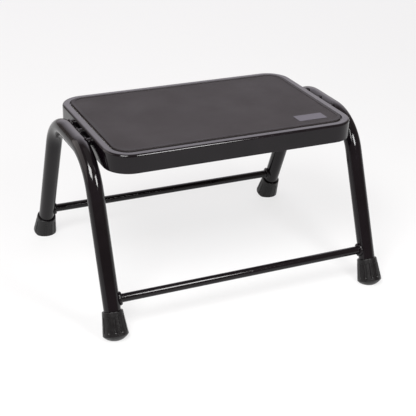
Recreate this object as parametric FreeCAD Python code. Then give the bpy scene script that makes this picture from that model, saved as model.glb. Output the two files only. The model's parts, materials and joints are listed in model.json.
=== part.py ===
"""Step stool: two bent tube side frames, two rails, three cross bars and a recessed tread tray.

Millimetres. +Z is up, X runs along the tread, -Y is the front, and the origin is on the floor
under the middle of the tread. Every piece is one node, written to parts/NODE.step.
"""
import FreeCAD, Part
import math
import os

V = FreeCAD.Vector

# ---- driving dimensions --------------------------------------------------------------------
# tread tray, pressed from sheet
tread_length = 400.0
tread_depth = 262.5
tread_corner_radius = 38.0
rim_height = 259.0          # floor to the top of the rim
skirt_height = 28.8         # rim top to the lower edge of the skirt
sheet = 1.2
rim_edge_radius = 3.5       # outside bend between rim and skirt
rim_width = 11.5            # outer edge to the wall of the recess
recess_depth = 2.5
recess_edge_radius = 0.8
skirt_edge_radius = 0.4

# mat, stuck in the recess, and the blank plate on it
mat_gap = 2.0               # all round, between the mat and the wall of the recess
mat_thickness = 3.4         # of the field inside the border
mat_border_width = 5.5
mat_border_rise = 0.6       # border above the field
mat_border_round = 1.1
mat_border_inner_round = 0.45
adhesive_thickness = 0.3
badge_length = 48.0
badge_depth = 22.5
badge_thickness = 0.8
badge_pocket_depth = 0.4
badge_fit = 0.1             # side clearance of the plate in its pocket
badge_corner_radius = 1.2
badge_edge_round = 0.25
badge_inset_x = 26.5        # recess wall to the near edge of the plate
badge_inset_y = 19.0

# side frames, one bent tube each
tube_diameter = 25.4
tube_wall = 1.2
tube_bend_radius = 75.5     # of the centre line
tube_drop = 1.6             # rim top to the top of the side tubes
side_gap = 2.7              # tread edge to the side tube
foot_spread = 364.0         # front to rear, leg axes at the floor
leg_lean = 22.4             # degrees from upright, in the plane of the side frame

# rails between the legs, and bars under the tread
rail_diameter = 13.0
rail_wall = 1.0
rail_height = 51.2
bar_diameter = 10.0
bar_wall = 1.2
bar_pitch = 40.0
bar_hole_clearance = 0.4    # radial, in the end skirts of the tray

# welds
rail_weld_leg = 4.2
bar_weld_fit = 0.7          # end skirt of the tray to the tip of a bead round a bar
weld_waist = 0.3            # of the leg, at the middle of a hollow weld face
tack_length = 16.0
tack_toe = 6.5              # middle of the bar to the toe of a bead on the tray
tack_slope = 25.0           # degrees round the bar from its side to the other toe
tack_offset = 120.0         # middle of the tread to each row of tacks

# rubber feet and the steel washer inside each; "along" is up the leg axis from the floor
foot_length = 40.0          # along, to the collar
foot_top_wall = 2.7
foot_rim_radius = 19.2
foot_rim_along = 4.7
foot_dome_radius = 24.3     # of the sole, before the floor cuts it level
foot_seat = 11.0            # along, to the washer
foot_fit = 0.05             # radial, tube in foot
foot_rim_round = 1.0
foot_collar_round = 1.0
foot_ring_height = 3.2      # plain ring at the rim, below the flutes
foot_collar_length = 6.0    # plain collar, above the flutes
flute_count = 12
flute_radius = 2.6
flute_depth = 1.2
grip_groove_radii = (5.5, 9.5)
grip_groove_width = 1.6
grip_groove_depth = 1.0
washer_thickness = 2.0
washer_fit = 0.2            # radial, washer in foot
washer_hole_diameter = 8.0

# ---- sizes that follow ---------------------------------------------------------------------
tube_radius = tube_diameter / 2
rail_radius = rail_diameter / 2
bar_radius = bar_diameter / 2
lean = math.radians(leg_lean)
half_spread = foot_spread / 2
side_x = tread_length / 2 + side_gap + tube_radius
bar_weld_leg = side_gap - bar_weld_fit

skirt_bottom = rim_height - skirt_height
recess_floor = rim_height - recess_depth
tray_underside = recess_floor - sheet
bar_height = tray_underside - bar_radius
run_height = rim_height - tube_drop - tube_radius   # axis of the level top of a side tube
mat_bottom = recess_floor + adhesive_thickness
mat_field = mat_bottom + mat_thickness

recess_length = tread_length - 2 * rim_width
recess_depth_y = tread_depth - 2 * rim_width
recess_corner_radius = tread_corner_radius - rim_width
mat_length = recess_length - 2 * mat_gap
mat_depth = recess_depth_y - 2 * mat_gap
mat_corner_radius = recess_corner_radius - mat_gap

tube_end = foot_seat + washer_thickness     # along the leg, from the floor
foot_top_radius = tube_radius + foot_top_wall
foot_taper = (foot_rim_radius - foot_top_radius) / (foot_length - foot_rim_along)
dome_centre = foot_rim_along + math.sqrt(foot_dome_radius ** 2 - foot_rim_radius ** 2)
sole_offset = dome_centre * math.sin(lean)  # leg axis at the floor to the middle of the sole
bar_rows = (-bar_pitch, 0.0, bar_pitch)
level = 1e-4                # an edge flatter than this is level


# ---- helpers -------------------------------------------------------------------------------
def save(name, shape):
    """Write one node."""
    shape.exportStep("parts/" + name + ".step")


def slab(length, depth, radius, low, high):
    """Upright block with rounded corners, centred on the Z axis."""
    block = Part.makeBox(length, depth, high - low, V(-length / 2, -depth / 2, low))
    upright = [e for e in block.Edges if e.BoundBox.ZLength > (high - low) / 2]
    return block.makeFillet(radius, upright)


def edges_at(shape, height):
    """Edges that lie flat at one height."""
    return [e for e in shape.Edges if abs(e.BoundBox.ZMin - height) < level > e.BoundBox.ZLength]


def inner(edges, half_length):
    """Those edges that lie inside a half length of the tread, the ones on its line included."""
    return [e for e in edges if abs(e.BoundBox.XMax) < half_length + sheet / 2]


def rod(start, end, radius):
    """Solid cylinder between two points."""
    axis = end - start
    return Part.makeCylinder(radius, axis.Length, start, axis)


def turned(outline, start, axis):
    """Solid of revolution: outline is (along, radius) points, or a triple of them for an arc."""
    edges = []
    for step in outline:
        points = [V(radius, 0, along) for along, radius in step]
        edges.append(Part.Arc(*points) if len(points) == 3 else Part.LineSegment(*points))
    face = Part.Face(Part.Wire([e.toShape() for e in edges]))
    solid = face.revolve(V(0, 0, 0), V(0, 0, 1), 360)
    solid.Placement = FreeCAD.Placement(start, FreeCAD.Rotation(V(0, 0, 1), axis))
    return solid


def mirrored_x(shape):
    """The same piece on the other side frame."""
    return shape.mirror(V(0, 0, 0), V(1, 0, 0))


def mirrored_y(shape):
    """The same piece at the other end of the side frame."""
    return shape.mirror(V(0, 0, 0), V(0, 1, 0))


# ---- side frames ---------------------------------------------------------------------------
def leg_point(along):
    """Point on the axis of the front leg at +X, measured up the leg from the floor."""
    return V(side_x, along * math.sin(lean) - half_spread, along * math.cos(lean))


def side_path():
    """Centre line of the side tube at +X: leg, bend, top run, bend, leg."""
    corner_y = half_spread - run_height * math.tan(lean)
    tangent = tube_bend_radius * math.tan((math.pi / 2 - lean) / 2)
    leg_end = leg_point(run_height / math.cos(lean) - tangent)
    run_end = V(side_x, tangent - corner_y, run_height)
    centre = run_end - V(0, 0, tube_bend_radius)
    outward = V(side_x, -corner_y, run_height) - centre
    crown = centre + outward.normalize() * tube_bend_radius
    foot = leg_point(tube_end)

    def rear(point):
        return V(point.x, -point.y, point.z)

    return Part.Wire([
        Part.LineSegment(foot, leg_end).toShape(),
        Part.Arc(leg_end, crown, run_end).toShape(),
        Part.LineSegment(run_end, rear(run_end)).toShape(),
        Part.Arc(rear(run_end), rear(crown), rear(leg_end)).toShape(),
        Part.LineSegment(rear(leg_end), rear(foot)).toShape(),
    ])


def side_bar(radius):
    """Solid round bar along the centre line of the side tube."""
    ring = Part.Wire(Part.makeCircle(radius, leg_point(tube_end), leg_point(1) - leg_point(0)))
    return side_path().makePipeShell([ring], True, False)


side_outside = side_bar(tube_radius)
both_outside = side_outside.fuse(mirrored_x(side_outside))


def side_tube():
    return side_outside.cut(side_bar(tube_radius - tube_wall))


# ---- rails and cross bars ------------------------------------------------------------------
def rail_y():
    """Where the leg axes are at the height of the rails."""
    return half_spread - rail_height * math.tan(lean)


def across(y, height, radius):
    """Solid round bar from side tube to side tube, before its ends are coped."""
    return rod(V(-side_x, y, height), V(side_x, y, height), radius)


def front_rail():
    outside = across(-rail_y(), rail_height, rail_radius)
    inside = across(-rail_y(), rail_height, rail_radius - rail_wall)
    return outside.cut(inside).cut(both_outside)


def cross_bar(y):
    outside = across(y, bar_height, bar_radius)
    inside = across(y, bar_height, bar_radius - bar_wall)
    return outside.cut(inside).cut(both_outside)


def weld(y, height, radius, leg):
    """Hollow fillet weld round the end of a bar, where it meets the side tube at +X."""
    toe = radius + leg
    tip = tube_radius + leg
    waist = (tube_radius + weld_waist * leg, radius + weld_waist * leg)
    outline = (
        ((0.0, 0.0), (0.0, toe)),
        ((0.0, toe), (tube_radius - leg, toe)),
        ((tube_radius - leg, toe), waist, (tip, radius)),
        ((tip, radius), (tip, 0.0)),
        ((tip, 0.0), (0.0, 0.0)),
    )
    bead = turned(outline, V(side_x, y, height), V(-1, 0, 0))
    return bead.cut(side_outside).cut(across(y, height, radius))


def front_rail_weld():
    return weld(-rail_y(), rail_height, rail_radius, rail_weld_leg)


def bar_welds():
    return Part.makeCompound([weld(y, bar_height, bar_radius, bar_weld_leg) for y in bar_rows])


# ---- tread ---------------------------------------------------------------------------------
def tread_tray():
    """Pressed tray: rim, recess for the mat, skirt, and holes for the cross bars in its ends."""
    shell = slab(tread_length, tread_depth, tread_corner_radius, skirt_bottom, rim_height)
    shell = shell.makeFillet(rim_edge_radius, edges_at(shell, rim_height))
    under_rim = slab(tread_length - 2 * sheet, tread_depth - 2 * sheet,
                     tread_corner_radius - sheet, skirt_bottom, rim_height - sheet)
    under_rim = under_rim.makeFillet(rim_edge_radius - sheet, edges_at(under_rim, rim_height - sheet))
    floor = slab(recess_length + 2 * sheet, recess_depth_y + 2 * sheet,
                 recess_corner_radius + sheet, tray_underside, rim_height)
    recess = slab(recess_length, recess_depth_y, recess_corner_radius, recess_floor, rim_height)
    tray = shell.cut(under_rim.cut(floor)).cut(recess)
    mouth = inner(edges_at(tray, rim_height), recess_length / 2)
    tray = tray.makeFillet(recess_edge_radius, mouth)
    tray = tray.makeFillet(skirt_edge_radius, edges_at(tray, skirt_bottom))
    hole_radius = bar_radius + bar_hole_clearance
    for y in bar_rows:
        for side in (-1, 1):
            start = V(side * (tread_length / 2 - rim_width + sheet), y, bar_height)
            tray = tray.cut(rod(start, V(side * side_x, y, bar_height), hole_radius))
    return tray


def tread_mat():
    """Rubber mat: a raised smooth border round a field with a fine grain, and a badge pocket."""
    top = mat_field + mat_border_rise
    mat = slab(mat_length, mat_depth, mat_corner_radius, mat_bottom, top)
    mat = mat.makeFillet(mat_border_round, edges_at(mat, top))
    field_length = mat_length - 2 * mat_border_width
    field = slab(field_length, mat_depth - 2 * mat_border_width,
                 mat_corner_radius - mat_border_width, mat_field, top + mat_thickness)
    mat = mat.cut(field)
    mat = mat.makeFillet(mat_border_inner_round, inner(edges_at(mat, top), field_length / 2))
    return mat.cut(badge(badge_fit, badge_thickness * 2))


def badge(extra, height):
    """Blank plate near the front right corner, or its pocket with the extra all round."""
    plate = slab(badge_length + 2 * extra, badge_depth + 2 * extra, badge_corner_radius + extra,
                 mat_field - badge_pocket_depth, mat_field - badge_pocket_depth + height)
    plate.translate(V(recess_length / 2 - badge_inset_x - badge_length / 2,
                      badge_inset_y + badge_depth / 2 - recess_depth_y / 2, 0))
    return plate


def badge_plate():
    plate = badge(0, badge_thickness)
    top = mat_field - badge_pocket_depth + badge_thickness
    return plate.makeFillet(badge_edge_round, edges_at(plate, top))


def mat_adhesive():
    return slab(mat_length, mat_depth, mat_corner_radius, recess_floor, mat_bottom)


def tack(x, y, side):
    """Weld bead in the corner between a cross bar and the underside of the tray."""
    slope = math.radians(tack_slope)
    points = [
        V(x, y, tray_underside),
        V(x, y + side * tack_toe, tray_underside),
        V(x, y + side * bar_radius * math.cos(slope), bar_height + bar_radius * math.sin(slope)),
    ]
    face = Part.Face(Part.makePolygon(points + points[:1]))
    bead = face.extrude(V(tack_length, 0, 0))
    bead.translate(V(-tack_length / 2, 0, 0))
    return bead.cut(across(y, bar_height, bar_radius))


def tray_tacks():
    return Part.makeCompound([tack(x, y, side) for x in (-tack_offset, tack_offset)
                              for y in bar_rows for side in (-1, 1)])


# ---- feet ----------------------------------------------------------------------------------
def along_leg(shape):
    """Move a piece drawn on the Z axis onto the axis of the front leg at +X."""
    shape.Placement = FreeCAD.Placement(
        leg_point(0), FreeCAD.Rotation(V(0, 0, 1), leg_point(1) - leg_point(0)))
    return shape


def foot_flutes():
    """Round-bottomed flutes down the taper, between the collar and the ring at the rim."""
    out = flute_radius - flute_depth
    low_along = foot_rim_along + foot_ring_height + flute_radius
    high_along = foot_length - foot_collar_length - flute_radius
    low = V(foot_rim_radius + out - foot_taper * (low_along - foot_rim_along), 0, low_along)
    high = V(foot_rim_radius + out - foot_taper * (high_along - foot_rim_along), 0, high_along)
    flute = rod(low, high, flute_radius)
    for end in (low, high):
        flute = flute.fuse(Part.makeSphere(flute_radius, end))
    flutes = []
    for index in range(flute_count):
        one = flute.copy()
        one.rotate(V(0, 0, 0), V(0, 0, 1), (index + 0.5) * 360 / flute_count)
        flutes.append(one)
    return Part.makeCompound(flutes)


def foot_body():
    """Tapered foot with a domed sole, on the Z axis, before it is cut level."""
    apex = dome_centre - foot_dome_radius
    half_angle = math.asin(foot_rim_radius / foot_dome_radius) / 2
    middle = (dome_centre - foot_dome_radius * math.cos(half_angle),
              foot_dome_radius * math.sin(half_angle))
    rim = (foot_rim_along, foot_rim_radius)
    collar = (foot_length, foot_top_radius)
    body = turned((
        ((apex, 0.0), middle, rim),
        (rim, collar),
        (collar, (foot_length, 0.0)),
        ((foot_length, 0.0), (apex, 0.0)),
    ), V(0, 0, 0), V(0, 0, 1))
    body = body.makeFillet(foot_rim_round, edges_at(body, foot_rim_along))
    return body.makeFillet(foot_collar_round, edges_at(body, foot_length))


def front_foot():
    """Rubber foot on the leaning leg, its sole cut level at the floor."""
    bore = Part.makeCylinder(tube_radius + foot_fit, foot_length, V(0, 0, foot_seat))
    foot = along_leg(foot_body().cut(bore).cut(foot_flutes()))
    reach = 2 * foot_length
    under = Part.makeBox(reach, reach, reach,
                         V(side_x - reach / 2, -half_spread - reach / 2, -reach))
    foot = foot.cut(under)
    sole_middle = V(side_x, sole_offset - half_spread, 0)
    for radius in grip_groove_radii:
        outer = Part.makeCylinder(radius + grip_groove_width / 2, grip_groove_depth, sole_middle)
        inner_part = Part.makeCylinder(radius - grip_groove_width / 2, grip_groove_depth, sole_middle)
        foot = foot.cut(outer.cut(inner_part))
    return foot


def front_washer():
    """Steel disc under the end of the tube, inside the foot."""
    disc = Part.makeCylinder(tube_radius - washer_fit, washer_thickness, V(0, 0, foot_seat))
    hole = Part.makeCylinder(washer_hole_diameter / 2, washer_thickness, V(0, 0, foot_seat))
    return along_leg(disc.cut(hole))


# ---- build ---------------------------------------------------------------------------------
def save_sides(name, shape):
    """Write a piece of the +X side frame, and its twin on the other side frame."""
    save(name + "_right", shape)
    save(name + "_left", mirrored_x(shape))


os.makedirs("parts", exist_ok=True)

save_sides("side_tube", side_tube())
save_sides("cross_bar_welds", bar_welds())
for kind, piece in (("foot", front_foot()), ("foot_washer", front_washer()),
                    ("rail_weld", front_rail_weld())):
    save_sides(kind + "_front", piece)
    save_sides(kind + "_rear", mirrored_y(piece))

save("rail_front", front_rail())
save("rail_rear", mirrored_y(front_rail()))
for place, row in zip(("front", "middle", "rear"), bar_rows):
    save("cross_bar_" + place, cross_bar(row))

save("tread_tray", tread_tray())
save("tray_tack_welds", tray_tacks())
save("mat_adhesive", mat_adhesive())
save("tread_mat", tread_mat())
save("badge_plate", badge_plate())
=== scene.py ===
"""Looks for the step stool: gloss black painted frame and tray, grained mat, fluted rubber feet.

Metres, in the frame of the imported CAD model. The CAD meshes stay as they are, apart from the
smooth weld beads in sight: rippled beads, placed by the same frame, take their place.
"""
import json
import math

import bmesh
import bpy
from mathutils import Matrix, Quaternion, Vector


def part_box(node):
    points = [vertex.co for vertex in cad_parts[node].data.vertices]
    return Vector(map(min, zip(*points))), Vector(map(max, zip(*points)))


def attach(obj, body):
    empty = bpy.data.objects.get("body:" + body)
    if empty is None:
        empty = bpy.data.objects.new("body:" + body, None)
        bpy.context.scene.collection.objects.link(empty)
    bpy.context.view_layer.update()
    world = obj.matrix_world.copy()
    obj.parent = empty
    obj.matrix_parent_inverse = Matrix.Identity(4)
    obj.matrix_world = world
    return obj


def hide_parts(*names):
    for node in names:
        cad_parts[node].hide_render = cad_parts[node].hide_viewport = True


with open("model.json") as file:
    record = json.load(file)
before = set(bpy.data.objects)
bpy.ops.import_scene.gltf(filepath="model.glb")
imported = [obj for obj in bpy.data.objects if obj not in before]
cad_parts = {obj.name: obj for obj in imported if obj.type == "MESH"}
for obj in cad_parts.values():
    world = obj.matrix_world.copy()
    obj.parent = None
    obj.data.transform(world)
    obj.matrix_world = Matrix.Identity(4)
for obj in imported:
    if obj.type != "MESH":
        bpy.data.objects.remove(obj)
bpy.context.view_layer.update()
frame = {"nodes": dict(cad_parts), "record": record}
cad = frame["nodes"]

MM = 0.001
PAINT = (0.0025, 0.0017, 0.0024)
PAINT_WORN = tuple(1.6 * c for c in PAINT)
PAINT_DUST = (0.08, 0.075, 0.07)
MAT_DARK, MAT_LIGHT = (0.0085, 0.0062, 0.0068), (0.0105, 0.0080, 0.0086)
MAT_SPECK, MAT_BORDER = (0.021, 0.018, 0.0185), (0.0072, 0.0056, 0.0064)
FOOT_DARK, FOOT_LIGHT = (0.0012, 0.0009, 0.0012), (0.0025, 0.0021, 0.0025)
FOOT_DUST = (0.045, 0.041, 0.038)
BADGE_DARK, BADGE_LIGHT = (0.021, 0.0185, 0.027), (0.032, 0.0285, 0.039)
TAPE_DARK, TAPE_LIGHT = (0.50, 0.48, 0.43), (0.60, 0.58, 0.53)
ZINC_DARK, ZINC_LIGHT = (0.55, 0.56, 0.58), (0.68, 0.68, 0.67)
FLOOR_DARK, FLOOR_LIGHT = (0.155, 0.155, 0.155), (0.165, 0.165, 0.165)


# ---- materials -----------------------------------------------------------------------------
class Finish:
    """A node material whose textures are sized in metres on the object's own coordinates.

    Keywords name the shader's sockets, with _ for a space.
    """

    def __init__(self, name, **uniform):
        self.material = bpy.data.materials.new(name)
        self.material.use_nodes = True
        self.tree = self.material.node_tree
        self.shader = self.tree.nodes["Principled BSDF"]
        for socket, value in uniform.items():
            self.shader.inputs[socket.replace("_", " ")].default_value = value
        self.place = self.add("ShaderNodeTexCoord").outputs["Object"]

    def add(self, kind, inputs=None, **settings):
        node = self.tree.nodes.new(kind)
        for key, value in settings.items():
            setattr(node, key, value)
        for key, value in (inputs or {}).items():
            if isinstance(value, bpy.types.NodeSocket):
                self.tree.links.new(value, node.inputs[key])
            else:
                node.inputs[key].default_value = value
        return node

    def drive(self, **sockets):
        for socket, value in sockets.items():
            self.tree.links.new(value, self.shader.inputs[socket.replace("_", " ")])

    def grain(self, size, detail=2.0, roughness=0.5, place=None):
        return self.add("ShaderNodeTexNoise", {
            "Vector": place or self.place, "Scale": 1 / size,
            "Detail": detail, "Roughness": roughness}).outputs["Fac"]

    def cells(self, size):
        return self.add("ShaderNodeTexVoronoi", {
            "Vector": self.place, "Scale": 1 / size}).outputs["Distance"]

    def stretched(self, x, y, z):
        return self.add("ShaderNodeMapping", {"Vector": self.place, "Scale": (x, y, z)}).outputs[0]

    def remap(self, value, low, high, to_low=0.0, to_high=1.0):
        return self.add("ShaderNodeMapRange", {
            "Value": value, "From Min": low, "From Max": high,
            "To Min": to_low, "To Max": to_high}).outputs[0]

    def calc(self, operation, a, b):
        return self.add("ShaderNodeMath", {0: a, 1: b}, operation=operation).outputs[0]

    def colour(self, amount, low, high):
        node = self.tree.nodes.new("ShaderNodeMix")
        node.data_type = "RGBA"
        self.tree.links.new(amount, node.inputs[0])
        for socket, value in ((node.inputs[6], low), (node.inputs[7], high)):
            if isinstance(value, bpy.types.NodeSocket):
                self.tree.links.new(value, socket)
            else:
                socket.default_value = (*value, 1)
        return node.outputs[2]

    def bump(self, height, depth, under=None):
        node = self.add("ShaderNodeBump", {"Height": height, "Distance": depth, "Strength": 1.0})
        if under is not None:
            self.tree.links.new(under, node.inputs["Normal"])
        return node.outputs["Normal"]

    def height(self):
        return self.add("ShaderNodeSeparateXYZ", {"Vector": self.place}).outputs["Z"]


def gloss_black(name, wave_size):
    """Powder coat: orange peel, faint waves, dust, and fine rubbed patches."""
    dust_cover, dust_roughness = 0.35, 0.25
    peel_size, peel_depth, wave_depth = 2.2 * MM, 0.008 * MM, 0.018 * MM
    f = Finish(name, IOR=1.5, Specular_IOR_Level=0.28)
    dust = f.remap(f.grain(0.9 * MM, 3.0, 0.7), 0.70, 0.80)
    patch = f.remap(f.grain(45 * MM, 3.0), 0.35, 0.7)
    base = f.colour(patch, PAINT, PAINT_WORN)
    f.drive(Base_Color=f.colour(f.calc("MULTIPLY", dust, dust_cover), base, PAINT_DUST))
    rubbed = f.remap(f.grain(14 * MM, 4.0, 0.6), 0.45, 0.75, 0.10, 0.20)
    f.drive(Roughness=f.calc("ADD", rubbed, f.calc("MULTIPLY", dust, dust_roughness)))
    peel = f.bump(f.grain(peel_size, 1.0), peel_depth)
    f.drive(Normal=f.bump(f.grain(wave_size, 1.0), wave_depth, peel))
    return f.material


def mat_rubber():
    """Soft matt rubber: fine pebble grain on the field, smoother on the raised border."""
    border_low, border_high = mat_top - 0.45 * MM, mat_top - 0.15 * MM
    pebble_size, pebble_depth, pebble_left_on_border = 0.7 * MM, 0.12 * MM, 0.1
    speck_cover, border_smoother = 0.22, 0.06
    f = Finish("mat_rubber_grained", IOR=1.5, Specular_IOR_Level=0.3)
    border = f.remap(f.height(), border_low, border_high)
    pebble = f.cells(pebble_size)
    mottled = f.grain(85 * MM, 3.0)
    worn = f.colour(f.remap(mottled, 0.3, 0.7), MAT_DARK, MAT_LIGHT)
    speck = f.remap(f.grain(1.1 * MM), 0.35, 0.65)
    field = f.colour(f.calc("MULTIPLY", speck, speck_cover), worn, MAT_SPECK)
    f.drive(Base_Color=f.colour(border, field, MAT_BORDER))
    rough = f.remap(f.grain(60 * MM, 3.0), 0.3, 0.7, 0.62, 0.70)
    f.drive(Roughness=f.calc("SUBTRACT", rough, f.calc("MULTIPLY", border, border_smoother)))
    share = f.remap(border, 0.0, 1.0, 1.0, pebble_left_on_border)
    f.drive(Normal=f.bump(f.calc("MULTIPLY", pebble, share), pebble_depth))
    return f.material


def foot_rubber():
    """Moulded rubber: satin, faintly mottled, dusty towards the floor."""
    dust_height, dust_cover = 14 * MM, 0.3
    f = Finish("foot_rubber_moulded", IOR=1.5, Specular_IOR_Level=0.34)
    low = f.remap(f.height(), 0.0, dust_height, 1.0, 0.0)
    dusty = f.calc("MULTIPLY", low, f.remap(f.grain(4 * MM, 4.0, 0.65), 0.45, 0.7))
    base = f.colour(f.grain(12 * MM, 3.0), FOOT_DARK, FOOT_LIGHT)
    f.drive(Base_Color=f.colour(f.calc("MULTIPLY", dusty, dust_cover), base, FOOT_DUST))
    f.drive(Roughness=f.remap(f.grain(6 * MM, 3.0), 0.3, 0.7, 0.32, 0.44))
    f.drive(Normal=f.bump(f.grain(0.5 * MM), 0.02 * MM))
    return f.material


def badge_plastic():
    """Satin grey plate with a fine straight grain."""
    f = Finish("badge_satin", IOR=1.5)
    lines = f.grain(0.4 * MM, place=f.stretched(0.04, 1.0, 1.0))
    f.drive(Base_Color=f.colour(lines, BADGE_DARK, BADGE_LIGHT))
    f.drive(Roughness=f.remap(lines, 0.3, 0.7, 0.38, 0.5))
    f.drive(Normal=f.bump(lines, 0.01 * MM))
    return f.material


def tape():
    """Adhesive sheet under the mat."""
    f = Finish("adhesive_tape")
    f.drive(Base_Color=f.colour(f.grain(3 * MM, 3.0), TAPE_DARK, TAPE_LIGHT))
    f.drive(Roughness=f.remap(f.grain(1 * MM), 0.3, 0.7, 0.6, 0.8))
    return f.material


def zinc():
    """Zinc plate with its soft spangle."""
    f = Finish("zinc_plate", Metallic=1.0)
    spangle = f.cells(2.5 * MM)
    f.drive(Base_Color=f.colour(spangle, ZINC_DARK, ZINC_LIGHT))
    f.drive(Roughness=f.remap(spangle, 0.0, 0.8, 0.28, 0.45))
    return f.material


mat_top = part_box("tread_mat")[1].z
finishes = {
    "frame_paint": gloss_black("frame_gloss_black", 9 * MM),
    "weld_paint": gloss_black("weld_gloss_black", 3 * MM),
    "tray_paint": gloss_black("tray_gloss_black", 16 * MM),
    "mat_rubber": mat_rubber(),
    "foot_rubber": foot_rubber(),
    "badge": badge_plastic(),
    "adhesive": tape(),
    "zinc_steel": zinc(),
}
slot_of = {row["node"]: row["material_slot"] for row in frame["record"]["subparts"]}


def dress(piece, slot):
    """Gives a piece the finish of its slot and no other."""
    piece.data.materials.clear()
    piece.data.materials.append(finishes[slot])


for name, node in cad.items():
    dress(node, slot_of[name])


# ---- weld beads ----------------------------------------------------------------------------
RAIL_BEAD, RAIL_RIPPLES = 2.9 * MM, 20
BAR_BEAD, BAR_RIPPLES = 1.4 * MM, 16
RING_STEPS = 8          # rings in one ripple
BEAD_SIDES = 16
# These three are shares of the bead's size.
BEAD_STAND = 0.28       # off the corner it fills
RIPPLE_HEIGHT = 0.07
SWELL_HEIGHT = 0.05     # thick and thin, twice round the bar
SWELL_SHIFT = 40        # radians a metre of depth, so that front and rear beads differ


def middle(node):
    """Centre of a node's box."""
    low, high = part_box(node)
    return (low + high) / 2


def half_width(node, axis):
    """Half a node's box along one axis: 0, 1 or 2."""
    low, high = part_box(node)
    return (high[axis] - low[axis]) / 2


def bead_rings(bar, bar_radius, tube, tube_radius, tube_way, size, ripples):
    """Rings of a rippled bead round a bar, where it runs along X into a side tube.

    bar and tube are points on the two centre lines, and tube_way is the tube's direction.
    """
    across = tube_way.cross(Vector((1, 0, 0)))
    side = math.copysign(1, tube.x)
    outward = Vector((side, 0, 0))
    rings = []
    for step in range(ripples * RING_STEPS):
        turn = 2 * math.pi * step / (ripples * RING_STEPS)
        out = Vector((0, math.cos(turn), math.sin(turn)))
        corner = bar + out * bar_radius
        off = (corner - tube).dot(across)
        corner.x = tube.x - side * math.sqrt(tube_radius ** 2 - off ** 2)
        uneven = (RIPPLE_HEIGHT * abs(math.sin(ripples * turn / 2))
                  + SWELL_HEIGHT * math.sin(2 * turn + SWELL_SHIFT * bar.y))
        radius = size * (1 + uneven)
        centre = corner + (out - outward) * size * BEAD_STAND
        ring = []
        for part in range(BEAD_SIDES):
            angle = 2 * math.pi * part / BEAD_SIDES
            way = out * math.cos(angle) + outward * math.sin(angle)
            ring.append(centre + way * radius)
        rings.append(ring)
    return rings


def bead_piece(name, loops, node):
    """One object made of closed beads, in place of a CAD node of plain beads."""
    bm = bmesh.new()
    for rings in loops:
        made = [[bm.verts.new(point) for point in ring] for ring in rings]
        for this, following in zip(made, made[1:] + made[:1]):
            for a in range(BEAD_SIDES):
                b = (a + 1) % BEAD_SIDES
                bm.faces.new((this[a], this[b], following[b], following[a]))
    bmesh.ops.recalc_face_normals(bm, faces=bm.faces)
    mesh = bpy.data.meshes.new(name)
    bm.to_mesh(mesh)
    bm.free()
    mesh.shade_smooth()
    piece = bpy.data.objects.new(name, mesh)
    bpy.context.scene.collection.objects.link(piece)
    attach(piece, "root")
    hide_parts(node)
    dress(piece, "weld_paint")


tube_radius = half_width("side_tube_left", 0)
rail_radius = half_width("rail_front", 2)
bar_radius = half_width("cross_bar_front", 2)
for side_name in ("left", "right"):
    tube_x = middle("side_tube_" + side_name).x
    for end_name in ("front", "rear"):
        rail = middle("rail_" + end_name)
        rail.x = tube_x
        leg_way = (rail - middle("foot_washer_%s_%s" % (end_name, side_name))).normalized()
        rings = bead_rings(rail, rail_radius, rail, tube_radius, leg_way,
                           RAIL_BEAD, RAIL_RIPPLES)
        bead_piece("rail_bead_%s_%s" % (end_name, side_name), [rings],
                   "rail_weld_%s_%s" % (end_name, side_name))
    run_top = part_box("side_tube_" + side_name)[1].z
    beads = []
    for row in ("front", "middle", "rear"):
        bar = middle("cross_bar_" + row)
        bar.x = tube_x
        run = Vector((tube_x, bar.y, run_top - tube_radius))
        beads.append(bead_rings(bar, bar_radius, run, tube_radius, Vector((0, 1, 0)),
                                BAR_BEAD, BAR_RIPPLES))
    bead_piece("bar_beads_" + side_name, beads, "cross_bar_welds_" + side_name)


# ---- studio --------------------------------------------------------------------------------
LIT_POINT = Vector((0, 0, 0.15))
SKY_SIZES = ((2.1, 1.0), (3.0, 1.7), (3.9, 2.4), (4.8, 3.1))
SKY_STEP = 0.05
WORLD_TONE = (0.30, 0.262, 0.240, 1)
FLOOR_REACH = 40
FLOOR_DROP = 0.0002     # keeps the floor clear of the soles
FLOOR_GLOW = 0.71


def direction(azimuth, elevation):
    """Unit vector towards a place in the studio. Azimuth 0 is in front, 90 to the right."""
    a, e = math.radians(azimuth), math.radians(elevation)
    return Vector((math.sin(a) * math.cos(e), -math.cos(a) * math.cos(e), math.sin(e)))


def panel(name, azimuth, elevation, distance, width, height, radiance, tint=(1, 1, 1)):
    """A soft box that faces the stool. Angles in degrees; radiance in W/m2/sr."""
    light = bpy.data.lights.new(name, "AREA")
    light.shape = "RECTANGLE"
    light.size, light.size_y = width, height
    light.energy = radiance * math.pi * width * height
    light.color = tint
    lamp = bpy.data.objects.new(name, light)
    bpy.context.scene.collection.objects.link(lamp)
    out = direction(azimuth, elevation)
    lamp.location = LIT_POINT + out * distance
    lamp.rotation_mode = "QUATERNION"
    lamp.rotation_quaternion = out.to_track_quat("Z", "Y")


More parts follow.
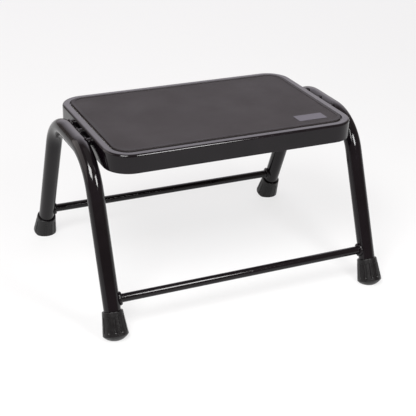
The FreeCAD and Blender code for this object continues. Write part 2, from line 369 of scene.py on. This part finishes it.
# One light in four layers, each wider and further back, so that it fades towards its edges.
for number, (sky_width, sky_height) in enumerate(SKY_SIZES):
    panel("back_sky_%d" % number, azimuth=160, elevation=32, distance=2.6 + SKY_STEP * number,
          width=sky_width, height=sky_height, radiance=0.38, tint=(0.98, 0.94, 1.06))
panel("overhead", azimuth=0, elevation=88, distance=2.0, width=1.6, height=1.6, radiance=0.3)
panel("left_box", azimuth=-44, elevation=50, distance=2.2, width=0.85, height=0.85, radiance=28.0)
panel("right_box", azimuth=17, elevation=38, distance=1.0, width=0.24, height=0.32, radiance=32.0)
panel("left_wall", azimuth=-118, elevation=24, distance=2.4, width=2.6, height=1.8, radiance=1.5,
      tint=(1.0, 0.93, 0.92))

world = bpy.data.worlds.new("studio")
world.use_nodes = True
world.node_tree.nodes["Background"].inputs["Color"].default_value = WORLD_TONE
world.node_tree.nodes["Background"].inputs["Strength"].default_value = 1.0
bpy.context.scene.world = world


def floor():
    """Pale floor, larger than any view of the stool."""
    mesh = bpy.data.meshes.new("floor")
    bm = bmesh.new()
    bmesh.ops.create_grid(bm, x_segments=4, y_segments=4, size=FLOOR_REACH)
    bm.to_mesh(mesh)
    bm.free()
    ground = bpy.data.objects.new("floor", mesh)
    bpy.context.scene.collection.objects.link(ground)
    ground.location.z = -FLOOR_DROP
    f = Finish("floor_pale", Roughness=0.9, IOR=1.2)
    f.shader.inputs["Emission Color"].default_value = (1, 1, 1, 1)
    f.shader.inputs["Emission Strength"].default_value = FLOOR_GLOW
    f.drive(Base_Color=f.colour(f.grain(0.8), FLOOR_DARK, FLOOR_LIGHT))
    mesh.materials.append(f.material)


floor()

# ---- camera --------------------------------------------------------------------------------
view_azimuth, view_elevation, view_roll = -25.01, 25.83, 1.58
view_distance, view_target, focal_length = 1.694, Vector((0.0085, -0.0039, 0.0886)), 89.78

camera_data = bpy.data.cameras.new("camera")
camera_data.sensor_width = 36.0
camera_data.lens = focal_length
camera_data.clip_start, camera_data.clip_end = 0.01, 200.0
camera = bpy.data.objects.new("camera", camera_data)
bpy.context.scene.collection.objects.link(camera)
back = direction(view_azimuth, view_elevation)
camera.location = view_target + back * view_distance
camera.rotation_mode = "QUATERNION"
level = (-back).to_track_quat("-Z", "Y")
camera.rotation_quaternion = Quaternion(back, math.radians(view_roll)) @ level
bpy.context.scene.camera = camera
bpy.context.scene.view_settings.view_transform = "Standard"
